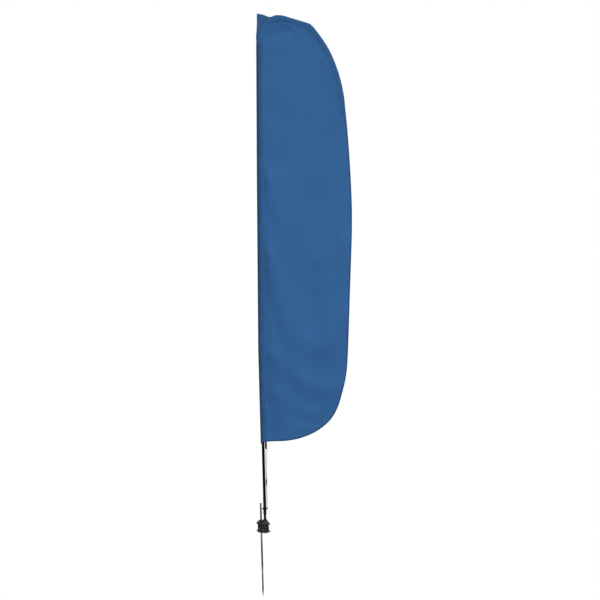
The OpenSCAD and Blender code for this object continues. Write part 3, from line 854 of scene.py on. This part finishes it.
def make_corner():
    """The flat doubled cloth between the whip's pocket and the square top corner."""
    lap = 3 * MM            # of the patch over the pocket
    first = int(np.argmin(np.abs(tunnel_along - WHIP_START)))
    last = int(np.argmin(np.linalg.norm(tunnel_line - np.array([PATCH_END, 2.7695]), axis=1)))
    inner = (tunnel_line - (POCKET_REACH - lap) * tunnel_side)[first:last]
    left = [(0.0213, 2.662), (0.0235, 2.690), (0.0275, 2.740)]
    outer = np.concatenate([left, edge_line[CORNER_TOP:][::-1]])
    across, along = 8, 60   # steps from the pocket to the outline, and points along them
    verts = []
    for c, (a, b) in enumerate(zip(resample_count(inner, along), resample_count(outer, along))):
        for t in (r / across for r in range(across + 1)):
            x, z = a * (1 - t) + b * t
            uneven = wander(c / along * 0.3 + 0.2 * t, 31, 0.05)
            verts.append(place(x, z, 2.2 * MM * uneven * math.sin(math.pi * t * 0.75)))
    faces = [(a, d, c, b) for a, b, c, d in lattice_faces(along, across + 1)]
    corner = new_object("corner_cloth", verts, faces)
    thick = corner.modifiers.new("doubled", "SOLIDIFY")
    thick.thickness = 1.2 * MM
    thick.offset = 0
    bake_modifiers(corner)
    # Painted shade: the doubled corner takes a darker copy of the cloth colour, 0.85 of it
    corner.data.materials.append(cloth_material("corner_cloth", shade(CLOTH_COLOR, 0.85)))
    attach(corner, "flag")
    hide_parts("corner_patch")
    return corner


# ---- banner: hem, stitching, webbing -----------------------------------------------------

# Painted shade: the hem, folded from the same cloth, takes a darker copy of its colour for its rolled edge
SHADED_HEM_COLOR = shade(CLOTH_COLOR, 0.66)
HEM_WIDTH = 7.5 * MM
HEM_STEP = 6 * MM
HEM_LIFT = 0.5 * MM     # of each flap from the cloth
STITCH_PITCH = 5.5 * MM
STITCH_WIDTH = 0.6 * MM
STITCH_SIDES = 6


class Surface:
    """Finds the front position of the finished main cloth at a point of the banner's plane."""

    def __init__(self, obj):
        bm = bmesh.new()
        bm.from_mesh(obj.data)
        self.tree = BVHTree.FromBMesh(bm)
        bm.free()

    def front(self, x, z):
        start = Vector(place(x, z, 0.3))
        hit = self.tree.ray_cast(start, Vector((0, 1, 0)))[0]
        if hit is None:
            hit = self.tree.find_nearest(Vector(place(x, z, 0)))[0]
        return PLANE_Y - hit.y


def make_hem(surface):
    """The folded hem along the bottom and the free edge: front flap, rolled edge, back flap."""
    line = edge_line[:HEM_END + 6]          # a little past the cloth's free edge
    line = resample(line[line[:, 0] > SEAM - CLOTH_TUCK], HEM_STEP)
    inward = -right_of(line)
    inset = [1.0, 0.7, 0.4, 0.12, 0.0]      # places across the hem, as shares of its width
    verts = []
    for i, (p, n) in enumerate(zip(line, inward)):
        gather = 0.3 * MM * wander(i * HEM_STEP, 41, 0.018)
        for side, steps in ((1, inset), (-1, inset[-2::-1])):
            for t in steps:
                q = p + n * (t * HEM_WIDTH) - n * (0.6 * MM if t == 0 else 0)
                on_cloth = p + n * max(t * HEM_WIDTH, 1.5 * MM)
                rise = 0 if t == 0 else side * (HEM_LIFT * (1.0 if t < 1 else 0.5) + gather)
                verts.append(place(q[0], q[1], surface.front(*on_cloth) + rise))
    hem = new_object("edge_hem", verts, lattice_faces(len(line), 2 * len(inset) - 1))
    tidy_normals(hem)
    hem.data.materials.append(cloth_material("hem_cloth", SHADED_HEM_COLOR))
    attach(hem, "flag")
    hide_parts("banner_hem")
    return hem, line, inward


def stitch(verts, faces, centre, along, up, length):
    """Adds one thread stitch: a low lozenge that dips at both ends."""
    across = along.cross(up)
    base = len(verts)
    rings = ((-0.5, 0.35, -0.3), (-0.25, 1.0, 0.5), (0.25, 1.0, 0.5), (0.5, 0.35, -0.3))
    for t, size, rise in rings:
        middle = centre + along * (length * t) + up * (STITCH_WIDTH * rise)
        for k in range(STITCH_SIDES):
            a = 2 * math.pi * k / STITCH_SIDES
            out = across * math.cos(a) + up * math.sin(a)
            verts.append(middle + out * (STITCH_WIDTH / 2 * size))
    for face in tube_faces(len(rings), STITCH_SIDES):
        faces.append(tuple(base + k for k in face))


def stitch_row(verts, faces, line, normal):
    """Adds stitches along a line of points, on the side that the normal points to."""
    line = resample(np.array(line), STITCH_PITCH)
    for a, b in zip(line[:-1], line[1:]):
        a, b = Vector(a), Vector(b)
        along = (b - a).normalized()
        up = (normal - along * normal.dot(along)).normalized()
        stitch(verts, faces, (a + b) / 2, along, up, STITCH_PITCH * 0.74)


def make_stitching(hem_line, hem_inward, surface):
    """Topstitching along the sleeve's and pocket's seam, and along the hem."""
    verts, faces = [], []
    for side in (1, -1):
        normal = Vector((0, -side, 0))
        for inset in (2.5 * MM, 8 * MM):
            row = []
            for line, out, along in zip(tunnel_line, tunnel_side, tunnel_along):
                thick = tunnel_thickness(along)
                x, z = line + out * (SEAM - inset)
                rise = inset * thick / math.sqrt(SEAM ** 2 - thick ** 2)
                row.append(place(x, z, side * (rise + 0.2 * MM)))
            stitch_row(verts, faces, row[2:], normal)
        row = []
        for line, inward in zip(hem_line, hem_inward):
            x, z = line + inward * (HEM_WIDTH - 2 * MM)
            row.append(place(x, z, surface.front(x, z) + side * 0.7 * MM))
        stitch_row(verts, faces, row, normal)
    thread = new_object("seam_stitching", verts, faces)
    thread.data.materials.append(thread_material(shade(CLOTH_COLOR, 0.9)))
    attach(thread, "flag")
    return thread


def make_webbing():
    """The black webbing tab: ribbed, and sewn to the back of the banner's lower corner."""
    lo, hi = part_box("tether_tab")
    middle = (lo.x + hi.x) / 2
    half_w = (hi.x - lo.x) / 2
    half_t = (hi.y - lo.y) / 2
    top = hi.z + 14 * MM    # the tab goes on behind the cloth
    rows = 60
    ribs = 22
    verts = []
    for r in range(rows + 1):
        z = lo.z + (top - lo.z) * r / rows
        sewn = float(ease(hi.z - 14 * MM, hi.z + 2 * MM, z))
        for face in (1, -1):
            for k in range(ribs + 1) if face == 1 else range(ribs, -1, -1):
                t = 2 * k / ribs - 1
                bulge = half_t * (1 - abs(t) ** 8) * (0.9 + 0.1 * math.cos(math.pi * k))
                rib = 0.08 * MM * math.sin(r * math.pi * 0.9 + k * math.pi)
                over_sleeve = max(0, 1.1 - 2.8 * t) * MM    # it lies over the sleeve's swell
                back = sewn * (2.2 * MM + over_sleeve)
                verts.append((middle + half_w * t, PLANE_Y + back - face * (bulge + rib), z))
    tab = new_object("tether_webbing", verts, tube_faces(rows + 1, 2 * (ribs + 1)))
    tidy_normals(tab)
    tab.data.materials.append(webbing_material())
    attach(tab, "flag")
    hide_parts("tether_tab")


# ---- stage -----------------------------------------------------------------------------

SKY_LIGHT = 0.35        # of the surround on the object, as a share of what the camera sees
FLOOR_RADIUS = 0.5


def soft_sun(name, towards, strength, angle):
    """A broad soft light, as from a large studio panel. towards points from the object to it."""
    data = bpy.data.lights.new(name, "SUN")
    data.energy = strength
    data.angle = math.radians(angle)
    light = bpy.data.objects.new(name, data)
    bpy.context.collection.objects.link(light)
    light.rotation_mode = "QUATERNION"
    light.rotation_quaternion = Vector(towards).to_track_quat("Z", "Y")


def make_surround():
    """A white surround that lights the object less than it shows, as a distant backdrop does."""
    world = bpy.data.worlds.new("surround")
    world.use_nodes = True
    tree = world.node_tree
    seen = tree.nodes.new("ShaderNodeLightPath").outputs["Is Camera Ray"]
    level = tree.nodes.new("ShaderNodeMapRange")
    level.inputs["To Min"].default_value = SKY_LIGHT
    level.inputs["To Max"].default_value = 1.0
    tree.links.new(seen, level.inputs["Value"])
    tree.links.new(level.outputs["Result"], tree.nodes["Background"].inputs["Strength"])
    tree.nodes["Background"].inputs["Color"].default_value = (1, 1, 1, 1)
    bpy.context.scene.world = world


def make_stage():
    """A pale floor under the spike's point, a white surround and soft studio lights."""
    rim = 96
    angles = [2 * math.pi * k / rim for k in range(rim)]
    verts = [(FLOOR_RADIUS * math.cos(a), FLOOR_RADIUS * math.sin(a), FLOOR_Z) for a in angles]
    floor = new_object("floor", verts, [tuple(range(rim))], smooth=False)
    s = Shader("floor", (0.6, 0.6, 0.6), 0.9, Specular_IOR_Level=0.1, Emission_Strength=0.35)
    s.bsdf.inputs["Emission Color"].default_value = (1, 1, 1, 1)
    s.color(s.ramp(s.noise(0.6, 2), [(0.3, 0.58), (0.7, 0.62)]))
    floor.data.materials.append(s.material)
    make_surround()
    bpy.context.scene.view_settings.view_transform = "Standard"
    soft_sun("key", (0.26, -0.70, 0.66), 2.9, 16)
    soft_sun("back", (-0.35, 0.75, 0.56), 1.9, 20)


make_camera()
make_tether_cord()
dress_cad_nodes()
main_cloth = make_main_cloth()
cloth_surface = Surface(main_cloth)
make_tunnel()
corner_piece = make_corner()
hem_piece, hem_path, hem_inside = make_hem(cloth_surface)
stitching = make_stitching(hem_path, hem_inside, cloth_surface)
make_webbing()
make_stage()
